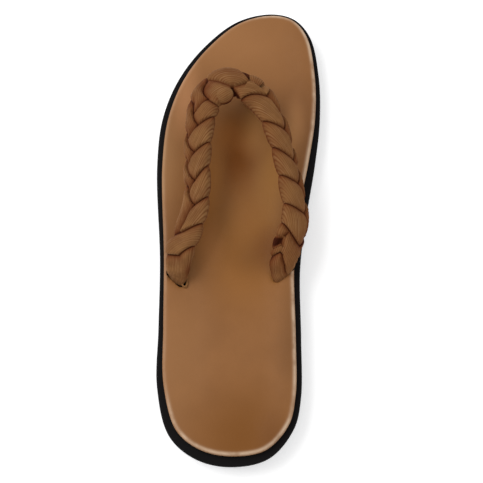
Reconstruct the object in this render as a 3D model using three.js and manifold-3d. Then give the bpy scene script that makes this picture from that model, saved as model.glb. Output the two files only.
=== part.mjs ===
// Flat thong slipper for the left foot: a three-layer sole under a strap plaited from three tapes.
// Millimetres. +Z is up, +Y points to the toe, +X to the inner side of the foot.
// The origin is on the floor, under the middle of the sole.
import * as THREE from 'three';
import { mergeVertices } from 'three/addons/utils/BufferGeometryUtils.js';
import Module from 'manifold-3d';

const wasm = await Module();
wasm.setup();

// Driving dimensions
const GAP = 0.3; // between two pieces that meet
const OUTSOLE_AT_HEEL = 9;
const OUTSOLE_AT_BALL = 7;
const MIDSOLE = 3;
const FOOTBED = 3.6;
const TOE_SPRING = 3.5;
const ARCH_RISE = 1.5;
const HEEL_ROLL = 0.8;
const UNDERCUT = 1.6; // how far the outsole's wall leans in at the floor
const DISH = 1.2; // how far the footbed is pressed down inside its rim

// Lengthwise stations of the underside
const HEEL_BACK = -130;
const ROLL_START = -120;
const ARCH_START = -45;
const ARCH_END = 20;
const SPRING_START = 72;
const TOE_FRONT = 130;

// Plan of the sole, from the back of the heel up the inner side and down the outer side.
// ledge is how far the footbed stays inside the midsole's edge.
const PLAN = [
  { x: 10, y: -130, ledge: 5 },
  { x: 29.5, y: -124.2, ledge: 4.2 },
  { x: 41, y: -108.5, ledge: 3.2 },
  { x: 43.6, y: -92, ledge: 3 },
  { x: 41.8, y: -62, ledge: 3 },
  { x: 38.9, y: -24, ledge: 3.4 },
  { x: 40.4, y: 6, ledge: 4.6 },
  { x: 43.4, y: 38, ledge: 3.8 },
  { x: 44.6, y: 66, ledge: 2.9 },
  { x: 42.4, y: 93, ledge: 2.6 },
  { x: 36, y: 117, ledge: 2.5 },
  { x: 26.5, y: 127.4, ledge: 2.6 },
  { x: 13, y: 130, ledge: 2.7 },
  { x: -6.5, y: 124, ledge: 3 },
  { x: -24, y: 107.5, ledge: 3.3 },
  { x: -37.2, y: 85.5, ledge: 3.5 },
  { x: -44, y: 60, ledge: 3.6 },
  { x: -44, y: 30, ledge: 3.2 },
  { x: -36.4, y: -25, ledge: 2.4 },
  { x: -33.2, y: -62, ledge: 2.8 },
  { x: -30.6, y: -93, ledge: 3.7 },
  { x: -22, y: -117, ledge: 4.5 },
  { x: -8, y: -127.3, ledge: 4.9 },
];
const TOE_ROW = 12; // the row of PLAN that is the tip of the toe
const STATIONS = 46; // points along each side of the sole
const ACROSS = 4; // strips across a layer's faces

// Route of the strap's middle, from its outer end over the toe post to its inner end.
// rise is its height over the footbed, roll leans its face outwards, reach is how far its
// tapes swing to each side, and depth how far they swing up and down.
const ROUTE = [
  { x: -25.4, y: -36.6, rise: -3, roll: 0, reach: 2.6, depth: 0.6 },
  { x: -24.3, y: -34.3, rise: 0.4, roll: 4, reach: 2.8, depth: 1 },
  { x: -24.2, y: -30, rise: 4.6, roll: 14, reach: 3.3, depth: 1.7 },
  { x: -24.6, y: -23, rise: 8, roll: 22, reach: 3.8, depth: 2.2 },
  { x: -21.4, y: -12.6, rise: 11, roll: 28, reach: 3.8, depth: 2.2 },
  { x: -18.6, y: 3, rise: 14, roll: 32, reach: 3.7, depth: 2.2 },
  { x: -20, y: 22.6, rise: 16, roll: 32, reach: 3.7, depth: 2.3 },
  { x: -20.5, y: 45.1, rise: 18, roll: 30, reach: 4.3, depth: 2.4 },
  { x: -17.3, y: 62.2, rise: 19.6, roll: 24, reach: 5, depth: 2.7 },
  { x: -7.4, y: 70, rise: 20.4, roll: 16, reach: 6.2, depth: 3.1 },
  { x: 6.2, y: 67.4, rise: 19.4, roll: 18, reach: 5, depth: 2.6 },
  { x: 17.4, y: 55.4, rise: 17.2, roll: 26, reach: 4, depth: 2.3 },
  { x: 26.5, y: 33.4, rise: 14, roll: 32, reach: 3.6, depth: 2.2 },
  { x: 32.4, y: 11.4, rise: 11, roll: 32, reach: 3.8, depth: 2.2 },
  { x: 33.8, y: -1.5, rise: 9, roll: 30, reach: 4.2, depth: 2.2 },
  { x: 31, y: -14.4, rise: 6.6, roll: 24, reach: 4.2, depth: 2.2 },
  { x: 29.4, y: -22.8, rise: 3.8, roll: 12, reach: 3.8, depth: 1.8 },
  { x: 29.6, y: -27.2, rise: 0.4, roll: 4, reach: 2.8, depth: 1 },
  { x: 31, y: -29.3, rise: -3, roll: 0, reach: 2.6, depth: 0.6 },
];
const MIDDLE_ROW = 9; // the row of ROUTE from which both legs are plaited outwards
const PITCH = 46.8; // strap length in which a tape crosses over and back
const EASE = 3; // length over which the two plaits turn into each other
const CHEVRON = 0.7; // how far the strap's rings of points are swept back at its edges, to follow its tapes
const USUAL_REACH = 4; // reach of the tapes for which the rings are swept back
const TAPE_WIDTH = 8.8;
const TAPE_THICKNESS = 4;
const BAND_EDGE = 3.9; // how far the band under the tapes reaches past their middles
const TAPE_STARTS = [Math.PI / 2, (7 * Math.PI) / 6, (11 * Math.PI) / 6];
const STRAP_STEPS = 120;
const STRAP_SIDES = 24;
const RAY_SPREAD = 2; // how much closer together the section's points are at the strap's edges
const FULL_DEPTH = 2; // from this depth of the plait its tapes have their full thickness
const ROUTE_FINE = 600; // steps in which the route's length is measured
const SLOT_STRETCH = 16; // length at each end over which the chevrons straighten

// The footbed's rounded rim, from its wall to its top face
const RIM = [
  { inset: 0, drop: 1.9 },
  { inset: 0.4, drop: 0.8 },
  { inset: 1.1, drop: 0.2 },
  { inset: 2.2, drop: 0 },
];

// Where the strap's ends and the toe post pass into the footbed
const SLOTS = [
  { x: -24.9, y: -35.7, length: 15, width: 5.2, turn: -38 },
  { x: 30.4, y: -28.4, length: 15, width: 5.2, turn: 42 },
];
const POST_HOLE = { x: 5.3, y: 72, length: 9.4, width: 5.4, turn: -8 };
const WELL_DEPTH = 2.4; // how deep the toe post's hole goes into the midsole

// Middle line of the toe post, from inside the hole over the strap's front edge
const POST = [
  { x: 5.3, y: 72, rise: -5.5 },
  { x: 5.4, y: 72.3, rise: 2 },
  { x: 6.6, y: 75, rise: 9 },
  { x: 8, y: 77.6, rise: 15 },
  { x: 8.4, y: 77.2, rise: 20 },
  { x: 7, y: 73, rise: 23 },
  { x: 5, y: 68.6, rise: 23 },
];
const POST_WIDTH = 7.6;
const POST_THICKNESS = 2.8;
const POST_STEPS = 16;
const POST_SIDES = 10;

const smooth = (t) => t * t * (3 - 2 * t);
const clamp01 = (t) => Math.min(1, Math.max(0, t));
const mix = THREE.MathUtils.lerp;
const rad = THREE.MathUtils.degToRad;

// Heights along the sole

function underside(y) {
  const arch = clamp01((y - ARCH_START) / (ARCH_END - ARCH_START));
  const spring = clamp01((y - SPRING_START) / (TOE_FRONT - SPRING_START));
  const roll = clamp01((ROLL_START - y) / (ROLL_START - HEEL_BACK));
  return ARCH_RISE * Math.sin(Math.PI * arch) ** 2 + TOE_SPRING * spring ** 2 + HEEL_ROLL * roll ** 2;
}

// The outsole thins from the heel to the ball, and its top runs level over the arch
function outsoleTop(y) {
  const forward = smooth(clamp01((y - ARCH_START) / (SPRING_START - ARCH_START)));
  const spring = clamp01((y - SPRING_START) / (TOE_FRONT - SPRING_START));
  return mix(OUTSOLE_AT_HEEL, OUTSOLE_AT_BALL, forward) + TOE_SPRING * spring ** 2;
}

const midsoleTop = (y) => outsoleTop(y) + GAP + MIDSOLE;
const footbedTop = (y) => midsoleTop(y) + GAP + FOOTBED;

// The sole's edge: STATIONS + 1 points up the inner side, then STATIONS - 1 down the outer side

const planCurve = new THREE.CatmullRomCurve3(
  PLAN.map(({ x, y, ledge }) => new THREE.Vector3(x, y, ledge)),
  true,
  'centripetal',
);

function evenly(fromRow, toRow, count) {
  const fine = 600;
  const points = [];
  for (let i = 0; i <= fine; i += 1) {
    points.push(planCurve.getPoint(mix(fromRow, toRow, i / fine) / PLAN.length));
  }
  const run = [0];
  for (let i = 1; i <= fine; i += 1) run.push(run[i - 1] + points[i].distanceTo(points[i - 1]));
  const even = [];
  for (let k = 0, i = 0; k <= count; k += 1) {
    const wanted = (run[fine] * k) / count;
    while (i < fine && run[i] < wanted) i += 1;
    even.push(points[i]);
  }
  return even;
}

const EDGE = [
  ...evenly(0, TOE_ROW, STATIONS),
  ...evenly(TOE_ROW, PLAN.length, STATIONS).slice(1, STATIONS),
];

// The edge moved inwards, and by the ledge too where the footbed is meant
function ring(inset, height, insideLedge = false) {
  return EDGE.map((point, i) => {
    const before = EDGE[(i + EDGE.length - 1) % EDGE.length];
    const after = EDGE[(i + 1) % EDGE.length];
    const along = new THREE.Vector2(after.x - before.x, after.y - before.y).normalize();
    const move = inset + (insideLedge ? point.z : 0);
    const x = point.x - along.y * move;
    const y = point.y + along.x * move;
    return new THREE.Vector3(x, y, height(y));
  });
}

function geometryOf(points, triangles) {
  const geometry = new THREE.BufferGeometry();
  const places = points.flatMap((p) => [p.x, p.y, p.z]);
  geometry.setAttribute('position', new THREE.Float32BufferAttribute(places, 3));
  geometry.setIndex(triangles.flat());
  return mergeVertices(geometry, 1e-4);
}

// A layer of the sole: rings from low to high, closed by two faces of strips from side to side.
// sag lowers the top face by a share of DISH that grows away from the rim.
function layer(rings, sag = 0) {
  const count = EDGE.length;
  const points = rings.flat();
  const triangles = [];
  for (let r = 0; r + 1 < rings.length; r += 1) {
    for (let i = 0; i < count; i += 1) {
      const a = r * count + i;
      const b = r * count + ((i + 1) % count);
      triangles.push([a, b, b + count], [a, b + count, a + count]);
    }
  }
  const face = (ringIndex, depth, up) => {
    const inner = (k) => ringIndex * count + k;
    const outer = (k) => ringIndex * count + ((count - k) % count);
    const rows = [];
    for (let k = 1; k < STATIONS; k += 1) {
      const row = [outer(k)];
      for (let j = 1; j < ACROSS; j += 1) {
        const point = points[outer(k)].clone().lerp(points[inner(k)], j / ACROSS);
        const across = 1 - (2 * j / ACROSS - 1) ** 4;
        const along = smooth(clamp01((4 * Math.min(k, STATIONS - k)) / STATIONS));
        point.z -= depth * across * along;
        points.push(point);
        row.push(points.length - 1);
      }
      row.push(inner(k));
      rows.push(row);
    }
    const add = (a, b, c) => triangles.push(up ? [a, b, c] : [a, c, b]);
    for (let j = 0; j < ACROSS; j += 1) {
      add(inner(0), rows[0][j + 1], rows[0][j]);
      add(inner(STATIONS), rows.at(-1)[j], rows.at(-1)[j + 1]);
      for (let k = 0; k + 1 < rows.length; k += 1) {
        add(rows[k][j], rows[k][j + 1], rows[k + 1][j + 1]);
        add(rows[k][j], rows[k + 1][j + 1], rows[k + 1][j]);
      }
    }
  };
  face(0, 0, false);
  face(rings.length - 1, sag, true);
  return geometryOf(points, triangles);
}

// Joining and cutting

function solid(geometry) {
  const bare = geometry.clone();
  bare.deleteAttribute('normal');
  bare.deleteAttribute('uv');
  const merged = mergeVertices(bare, 1e-4);
  const mesh = new wasm.Mesh({
    numProp: 3,
    vertProperties: new Float32Array(merged.attributes.position.array),
    triVerts: new Uint32Array(merged.index.array),
  });
  return new wasm.Manifold(mesh);
}

function fromSolid(body) {
  const mesh = body.getMesh();
  const geometry = new THREE.BufferGeometry();
  geometry.setAttribute('position', new THREE.Float32BufferAttribute(mesh.vertProperties, 3));
  geometry.setIndex(Array.from(mesh.triVerts));
  geometry.computeVertexNormals();
  return geometry;
}

// An upright pin with a long section and round ends, to cut a slot
function slotPin({ x, y, length, width, turn }, low, high, trim = 0) {
  const radius = width / 2 - trim;
  const half = (length - width) / 2;
  const shape = new THREE.Shape();
  shape.absarc(half, 0, radius, -Math.PI / 2, Math.PI / 2, false);
  shape.absarc(-half, 0, radius, Math.PI / 2, (3 * Math.PI) / 2, false);
  const geometry = new THREE.ExtrudeGeometry(shape, {
    depth: high - low,
    bevelEnabled: false,
    curveSegments: 5,
  });
  geometry.rotateZ(rad(turn));
  geometry.translate(x, y, low);
  return solid(geometry);
}

// A closed tube through sections of equally many points
function tube(sections) {
  const sides = sections[0].length;
  const triangles = [];
  for (let k = 0; k + 1 < sections.length; k += 1) {
    for (let i = 0; i < sides; i += 1) {
      const a = k * sides + i;
      const b = k * sides + ((i + 1) % sides);
      triangles.push([a, b, b + sides], [a, b + sides, a + sides]);
    }
  }
  const last = (sections.length - 1) * sides;
  for (let i = 1; i + 1 < sides; i += 1) {
    triangles.push([0, i + 1, i], [last, last + i, last + i + 1]);
  }
  return geometryOf(sections.flat(), triangles);
}

// The strap's middle line and the frame that rides along it

const routeCurve = new THREE.CatmullRomCurve3(
  ROUTE.map(({ x, y, rise }) => new THREE.Vector3(x, y, footbedTop(y) + rise)),
  false,
  'centripetal',
);

const routeLengths = routeCurve.getLengths(ROUTE_FINE);
const strapLength = routeLengths[ROUTE_FINE];
const lastRow = ROUTE.length - 1;
const middleRun = routeLengths[Math.round((ROUTE_FINE * MIDDLE_ROW) / lastRow)];

// share is 0 at the strap's outer end and 1 at its inner end
function strapFrame(share) {
  const t = routeCurve.getUtoTmapping(share);
  const row = Math.min(lastRow - 1, Math.floor(t * lastRow));
  const value = (name) => mix(ROUTE[row][name], ROUTE[row + 1][name], smooth(t * lastRow - row));
  const along = routeCurve.getTangent(t);
  const wide = new THREE.Vector3(-along.y, along.x, 0).normalize();
  const face = along.clone().cross(wide).normalize();
  const roll = rad(value('roll'));
  return {
    at: routeCurve.getPoint(t),
    wide: wide.clone().multiplyScalar(Math.cos(roll)).addScaledVector(face, -Math.sin(roll)),
    face: face.clone().multiplyScalar(Math.cos(roll)).addScaledVector(wide, Math.sin(roll)),
    run: share * strapLength - middleRun,
    reach: value('reach'),
    depth: value('depth'),
  };
}

// Distance from the strap's middle to the far side of a flat oval, or 0 where the ray misses it
function farSide({ middle, half }, ray) {
  const p = ray.x / half.x;
  const q = ray.y / half.y;
  const m = middle.x / half.x;
  const n = middle.y / half.y;
  const square = p * p + q * q;
  const cross = p * m + q * n;
  const root = cross * cross - square * (m * m + n * n - 1);
  return root > 0 ? (cross + Math.sqrt(root)) / square : 0;
}

// The ovals that fill the strap's cross-section: the band in its middle, and the three tapes.
// A tape swings from side to side once and up and down twice in each pitch, and the same way
// in both legs, outwards from the middle.
function crossSection({ run, reach, depth }) {
  const turn = (2 * Math.PI * (Math.hypot(run, EASE) - EASE)) / PITCH;
  const thickness = TAPE_THICKNESS * mix(0.5, 1, clamp01(depth / FULL_DEPTH));
  const band = { middle: new THREE.Vector2(0, 0), half: new THREE.Vector2(reach + BAND_EDGE, thickness / 2) };
  const tapes = TAPE_STARTS.map((start) => ({
    middle: new THREE.Vector2(reach * Math.sin(start + turn), -depth * Math.sin(2 * (start + turn))),
    half: new THREE.Vector2(TAPE_WIDTH / 2, thickness / 2),
  }));
  return [band, ...tapes];
}

// The strap is one wall: a flat oval band on which the outermost tape stands raised all round.
// Away from its ends each ring of points is a chevron, as the tapes are.
function plait(grow = 0) {
  const sections = Array.from({ length: STRAP_STEPS + 1 }, (_, step) => {
    const even = step / STRAP_STEPS;
    const run = even * strapLength - middleRun;
    const sweep = (CHEVRON * run) / Math.hypot(run, EASE);
    const fade = clamp01((strapLength / SLOT_STRETCH) * Math.min(even, 1 - even));
    return Array.from({ length: STRAP_SIDES }, (__, side) => {
      const angle = (2 * Math.PI * side) / STRAP_SIDES;
      const back = sweep * fade * (TAPE_WIDTH / 2 + USUAL_REACH) * Math.abs(Math.cos(angle));
      const frame = strapFrame(even - back / strapLength);
      const ray = new THREE.Vector2(RAY_SPREAD * Math.cos(angle), Math.sin(angle)).normalize();
      const far = Math.max(...crossSection(frame).map((oval) => farSide(oval, ray))) + grow;
      return frame.at.addScaledVector(frame.wide, far * ray.x).addScaledVector(frame.face, far * ray.y);
    });
  });
  return solid(tube(sections));
}

// The toe post: one tape up out of the footbed, over the strap's front edge and down into the plait
function postTape() {
  const curve = new THREE.CatmullRomCurve3(
    POST.map(({ x, y, rise }) => new THREE.Vector3(x, y, footbedTop(POST_HOLE.y) + rise)),
    false,
    'centripetal',
  );
  const across = new THREE.Vector3(1, 0, 0).applyAxisAngle(new THREE.Vector3(0, 0, 1), rad(POST_HOLE.turn));
  const sections = [];
  for (let i = 0; i <= POST_STEPS; i += 1) {
    const at = curve.getPointAt(i / POST_STEPS);
    const along = curve.getTangentAt(i / POST_STEPS);
    const flat = across.clone().addScaledVector(along, -across.dot(along)).normalize();
    const out = along.clone().cross(flat).normalize();
    sections.push(
      Array.from({ length: POST_SIDES }, (_, j) => {
        const angle = (2 * Math.PI * (j + 0.5)) / POST_SIDES;
        return at
          .clone()
          .addScaledVector(flat, (POST_WIDTH / 2) * Math.cos(angle))
          .addScaledVector(out, (POST_THICKNESS / 2) * Math.sin(angle));
      }),
    );
  }
  return tube(sections);
}

// Pieces

function outsole() {
  const lift = (share) => (y) => mix(underside(y), outsoleTop(y), share);
  return layer([
    ring(UNDERCUT + 1, underside),
    ring(UNDERCUT, (y) => underside(y) + 0.8),
    ring(UNDERCUT / 2, lift(0.5)),
    ring(0.3, lift(1)),
  ]);
}

function midsole() {
  const low = (y) => outsoleTop(y) + GAP;
  const body = layer([
    ring(0.2, low),
    ring(0, (y) => low(y) + 0.5),
    ring(0, (y) => midsoleTop(y) - 0.6),
    ring(0.6, midsoleTop),
  ]);
  const base = outsoleTop(POST_HOLE.y);
  const well = slotPin(POST_HOLE, base + GAP + MIDSOLE - WELL_DEPTH, base + 2 * MIDSOLE);
  return fromSolid(solid(body).subtract(well));
}

// grow thickens the footbed all round, to cut the strap clear of it
function footbedBody(grow = 0) {
  const low = (y) => midsoleTop(y) + GAP - grow;
  const high = (y) => footbedTop(y) + grow;
  const rim = RIM.map(({ inset, drop }) => ring(inset - grow, (y) => high(y) - drop, true));
  return solid(layer([ring(-grow, low, true), ...rim], DISH));
}

function openings(trim = 0) {
  const low = midsoleTop(0) - MIDSOLE;
  const high = footbedTop(TOE_FRONT);
  const pins = [...SLOTS, POST_HOLE].map((slot) => slotPin(slot, low, high, trim));
  return pins.reduce((sum, one) => sum.add(one));
}

// What is left of a body after a cut, without the crumbs
function largest(body) {
  return body.decompose().reduce((most, part) => (part.volume() > most.volume() ? part : most));
}

function strap() {
  const bed = footbedBody(GAP).subtract(openings(GAP));
  const floor = solid(layer([ring(0, outsoleTop), ring(0, (y) => midsoleTop(y) + GAP)]));
  return fromSolid(largest(plait().subtract(bed).subtract(floor)));
}

function toePost() {
  return fromSolid(largest(solid(postTape()).subtract(plait(2 * GAP))));
}

const RUBBER = new THREE.MeshStandardMaterial({ color: 0x4a4952, roughness: 0.7, metalness: 0 });
const BLACK = new THREE.MeshStandardMaterial({ color: 0x0b0808, roughness: 0.55, metalness: 0 });
const LEATHER = new THREE.MeshStandardMaterial({ color: 0x93684a, roughness: 0.5, metalness: 0 });
const TAPE = new THREE.MeshStandardMaterial({ color: 0x8b6340, roughness: 0.75, metalness: 0 });

function piece(name, geometry, material) {
  const mesh = new THREE.Mesh(geometry, material);
  mesh.name = name;
  return mesh;
}

const group = new THREE.Group();
group.add(
  piece('outsole', outsole(), RUBBER),
  piece('midsole', midsole(), BLACK),
  piece('footbed', fromSolid(footbedBody().subtract(openings())), LEATHER),
  piece('braided_strap', strap(), TAPE),
  piece('toe_post', toePost(), TAPE),
);

export default group;
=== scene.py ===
"""Looks of a flat thong slipper for the left foot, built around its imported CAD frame.

The sole is lofted from its plan outline. The strap is plaited from three ribbed tapes, with a ball in
its knot and a small loop at the end of its outer leg, and a fourth tape is the toe post. Sizes are
millimetres and angles degrees; the meshes are metres, in the frame's axes: +Y to the toe, +X to the
inner side of the foot, +Z up.
"""

import bpy
import numpy as np
from mathutils import Matrix, Vector

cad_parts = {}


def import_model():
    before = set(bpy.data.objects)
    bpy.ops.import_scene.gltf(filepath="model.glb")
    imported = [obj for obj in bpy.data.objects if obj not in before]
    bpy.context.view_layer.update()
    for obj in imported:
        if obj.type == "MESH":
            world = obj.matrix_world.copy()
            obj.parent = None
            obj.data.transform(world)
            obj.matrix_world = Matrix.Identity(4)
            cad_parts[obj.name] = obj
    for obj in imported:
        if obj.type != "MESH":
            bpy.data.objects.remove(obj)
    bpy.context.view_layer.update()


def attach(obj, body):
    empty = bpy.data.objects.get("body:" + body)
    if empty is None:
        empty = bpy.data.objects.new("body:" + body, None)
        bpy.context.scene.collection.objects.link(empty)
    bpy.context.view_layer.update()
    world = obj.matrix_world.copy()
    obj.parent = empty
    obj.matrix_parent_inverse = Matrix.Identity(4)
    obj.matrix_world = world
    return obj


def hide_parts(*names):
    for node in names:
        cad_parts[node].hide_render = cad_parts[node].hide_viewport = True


MM = 0.001
PLAN_STEPS, ROUTE_STEPS, POST_CURVE = 60, 80, 40  # points of each curve from row to row

# The sole's layers, as in the part
GAP = 0.3
OUTSOLE_AT_HEEL = 9
OUTSOLE_AT_BALL = 7
MIDSOLE = 3
FOOTBED = 3.6
TOE_SPRING = 3.5
ARCH_RISE = 1.5
HEEL_ROLL = 0.8
UNDERCUT = 1.6
EDGE_RADIUS = 1.9  # of the footbed's upper edge
DISH, DISH_EASE = 1.2, 16  # how deep the footbed is pressed down inside its rim, and over what width
HEEL_BACK, ROLL_START, ARCH_START, ARCH_END, SPRING_START, TOE_FRONT = -130, -120, -45, 20, 72, 130

# Plan of the sole, from the back of the heel up the inner side and down the outer side: x, y, ledge
PLAN = np.array([
    (10, -130, 5), (29.5, -124.2, 4.2), (41, -108.5, 3.2), (43.6, -92, 3),
    (41.8, -62, 3), (38.9, -24, 3.4), (40.4, 6, 4.6), (43.4, 38, 3.8),
    (44.6, 66, 2.9), (42.4, 93, 2.6), (36, 117, 2.5), (26.5, 127.4, 2.6),
    (13, 130, 2.7), (-6.5, 124, 3), (-24, 107.5, 3.3), (-37.2, 85.5, 3.5),
    (-44, 60, 3.6), (-44, 30, 3.2), (-36.4, -25, 2.4), (-33.2, -62, 2.8),
    (-30.6, -93, 3.7), (-22, -117, 4.5), (-8, -127.3, 4.9),
])
SIDE_STEPS = 260  # points along each side of the sole
ACROSS = 84  # strips across its faces

# Side view of each layer, from its lower face up: inset, share of the way up, lift
OUTSOLE_PROFILE = (
    (UNDERCUT + 1.2, 0, 0), (UNDERCUT + 0.5, 0, 0.25), (UNDERCUT + 0.1, 0, 0.8),
    (UNDERCUT * 0.75, 0.25, 0), (UNDERCUT * 0.5, 0.5, 0), (UNDERCUT * 0.28, 0.75, 0),
    (0.25, 1, -0.4), (0.5, 1, -0.08), (0.9, 1, 0),
)
MIDSOLE_PROFILE = (
    (0.8, 0, 0), (0.3, 0, 0.12), (0.05, 0, 0.5), (0, 0, 1.4),
    (0.05, 1, -0.7), (0.28, 1, -0.22), (0.8, 1, 0),
)
FOOTBED_PROFILE = [(0.7, 0, 0), (0.15, 0, 0.25), (0, 0, 0.8)] + [
    (EDGE_RADIUS * (1 - np.cos(angle)), 1, -EDGE_RADIUS * (1 - np.sin(angle)))
    for angle in np.linspace(0, np.pi / 2, 9)
]

# The tread's waved grooves, and the plain margin round them
TREAD_DEPTH = 0.8
TREAD_PITCH = 5
TREAD_SHARE, TREAD_SLOPE = 0.36, 0.14  # of the pitch: a groove, and its sides
TREAD_WAVE, TREAD_WAVELENGTH = 1.6, 14
TREAD_MARGIN, TREAD_EASE = 4.5, 0.6

# Where a highlight is painted along the pad's rim: a band along it, everywhere a little, more from an x and
# behind a y
HIGHLIGHT_FROM_EDGE = 1
HIGHLIGHT_WIDTH = 0.9
HIGHLIGHT_LEAST = 0.15
HIGHLIGHT_X, HIGHLIGHT_Y, HIGHLIGHT_EASE = -10, -90, 30

# Route of the strap's middle: x, y, rise over the footbed, roll, reach and depth of the plait
ROUTE = np.array([
    (-25.4, -36.6, -3, 0, 2.6, 0.6), (-24.3, -34.3, 0.4, 4, 2.8, 1),
    (-24.2, -30, 4.6, 14, 3.3, 1.7), (-24.6, -23, 8, 22, 3.8, 2.2),
    (-21.4, -12.6, 11, 28, 3.8, 2.2), (-18.6, 3, 14, 32, 3.7, 2.2),
    (-20, 22.6, 16, 32, 3.7, 2.3), (-20.5, 45.1, 18, 30, 4.3, 2.4),
    (-17.3, 62.2, 19.6, 24, 5, 2.7), (-7.4, 70, 20.4, 16, 6.2, 3.1),
    (6.2, 67.4, 19.4, 18, 5, 2.6), (17.4, 55.4, 17.2, 26, 4, 2.3),
    (26.5, 33.4, 14, 32, 3.6, 2.2), (32.4, 11.4, 11, 32, 3.8, 2.2),
    (33.8, -1.5, 9, 30, 4.2, 2.2), (31, -14.4, 6.6, 24, 4.2, 2.2),
    (29.4, -22.8, 3.8, 12, 3.8, 1.8), (29.6, -27.2, 0.4, 4, 2.8, 1),
    (31, -29.3, -3, 0, 2.6, 0.6),
])
MIDDLE_SHIFT = 4.7  # from its highest row to the place from which both legs are plaited outwards
STATIONS = 900  # even steps along the strap at which its frames are worked out
# Where the plait's leaves end, measured outwards from there on the outer leg (-1) and the inner leg
# (1). Each end is a line across the face: from the inner edge to the leaf's tip, and from there back
# to the notch where the next outer leaf comes in. x runs from -8 at the inner edge to 8.
#   inner edge, tip x, tip, notch x, notch
LEAF_ENDS = {
    -1: (
        (21.5, -2.4, 19.6, 5, 12.5), (29.3, -0.6, 35.1, 4.7, 23.3),
        (44.6, 0.3, 50.3, 6.5, 38.9), (58, -0.6, 66, 6.1, 53.9),
        (74.8, -1.2, 79.6, 4.9, 68.9), (87.7, 2.5, 95.4, 8, 99),
        (99, -1, 106.4, 8, 106.6),
    ),
    1: (
        (5.5, 2.2, 15.5, 6.5, 12), (27.8, 3, 35.8, 6.5, 27),
        (44.5, 3.5, 53.5, 6.8, 44.5), (60.7, 3, 66.3, 6.6, 57),
        (76.8, 4.8, 81.9, 7, 75), (89.3, 6.3, 98.2, 7.6, 93),
        (97, -5, 96.3, 8, 101), (103.8, -4.9, 101, 8, 105),
        (107, -4.1, 104, 8, 109),
    ),
}
LAST_PAIR = 5  # from this leaf of a leg there are no more outer leaves beside the inner ones
HOLLOW_LEAF, CROSS_LEAF = 7, 8  # of the inner leg: a dark hollow, and the piece across it
HOLLOW_EASE = 1.6
HOLLOW_DARK = (0.35, 0.6)  # painted shade of the hollow: at its edge, and how much more inside
CROSS_HEIGHT = 0.6  # of a leaf's
BELLY = 0.25  # how soon a leaf's end turns back behind its tip
SEAM_BEND, FIRST_SEAM_BEND = 1.25, 2  # how the line between an inner and an outer leaf is bent
# x of the lines between inner and outer leaves in the knot and at the inner leg's end, by run
KNOT_LINE = np.array([
    (-14, 9), (-12, 6.2), (-9, 2.2), (-6.6, -0.6), (-4.6, -2.1), (-2.6, -2.9),
    (-1, -2.8), (1, -1.9), (3, -0.2), (5, 1.7), (7, 2.5), (9, 2.2), (16, 2.2),
])
TAIL_LINE = np.array([
    (94, -3), (96.2, -3.8), (103, -3), (106.8, -1.1), (109.7, 1.1), (113.6, 2.3),
])
GAP_LINE = np.array([(-8, 1.2), (-3.9, -2.6)])  # run of the gap in the knot's middle, by x
# The gap's hollow: distance round the section, run, half width
GAP_HOLLOW = np.array([
    (-15, 1.6, 6.6), (-12, 1.6, 6.6), (-10, 1.2, 5.8), (-8, 0.4, 4.6),
    (-6, -1, 2.7), (-4.2, -2.5, 1.1),
])
KNOT_END = (6.3, 0.4, 1.3)  # x and run of the end of the knot's arch at the outer side, and its slant
ARCH_FREE = 4.5  # run from which the inner leaf no longer touches the arch
ARCH_GAP = 2  # length of the painted shade behind the arch, and of its end
# How far the plait's outer and inner sides lie beyond the route's reach, by run
SIDES = np.array([
    (-123, 0, -3), (-112, 0, -2.4), (-104, 0, 0), (-90, -0.4, 0), (-70, -1.1, 0),
    (-50, -0.9, 0), (-30, 0, 0), (-12, 1.8, 0), (-4, 1.3, 0), (3, 0.8, 0),
    (12, 0, 0), (25, -1.8, 0), (45, -2.4, 0), (68, -2.2, 0), (82, -0.8, -0.9),
    (95, -0.3, 0), (108, -1.4, -0.9), (119, -1.8, 0),
])
STRAP_WIDTH = 3.5  # added to the reach for its half width
STRAP_DEPTH = 0.3  # and to the depth for its half thickness
STRAP_FLATNESS = 2.4
HALF_FACE = 8  # half the plait's usual width
FACE_DEPTH = 3.2  # its half thickness, to space the section's points
LEAF_STEP = 2.6  # how high a leaf stands over the next one
LEAF_RISE = 4.6  # length over which it comes up from under the leaf before it
LEAF_ROUND = 1
ARCH_ROUND = 2.6
FAR = 99.0  # farther than any place on the strap is from a line
NOTCH = 1.1  # depth of the notches at the plait's edges
LEAF_MARGIN = 0.0015  # share of a leaf left out at its ends, where the next one's rings begin
# The knot's ball: run, place across the strap and over its middle, and half its size that way round
BALL_PLACE = (-10.5, -7, 1.4)
BALL_SIZE = (5.3, 4.9, 4.4)
BALL_RIBS = 26
BALL_RIB = 0.13
BALL_RINGS = 60
BALL_POLE = 0.02  # share of its half turn left flat at each end
BALL_DARK, BALL_DARK_FROM, BALL_DARK_EASE = 0.9, -0.3, 0.55  # painted shade on its lower part, by height over its middle
DIP_RUN, DIP_X, DIP = 14.5, 1.5, 0.9  # the hollow beside the ball, and in the next line its size and painted shade
DIP_LENGTH, DIP_WIDTH, DIP_DARK = 2.5, 3, 0.4
GAP_REACH = 2.1  # how far shade is painted on a leaf where it comes up
OUTER_GAP_REACH = 3.2  # the same on an outer leaf
PIT = 2  # how deep the gap and the hollows are
PIT_FROM, PIT_TO = (-15, 2), (-3.2, 1.4)  # where the gap starts and ends round the section, and how soon
PIT_REACH, PIT_EDGE = 1.15, 0.5  # of its half width: where its slope ends, and how wide the slope is
POST_BED, POST_BED_EASE = 9, 5  # run up to which the plait lies low under the toe post's tape
POST_BED_DEPTH = 0.9 * PIT
FRONT_STEPS = 84  # points over the section's face
BACK_STEPS = 36  # and underneath
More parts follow.
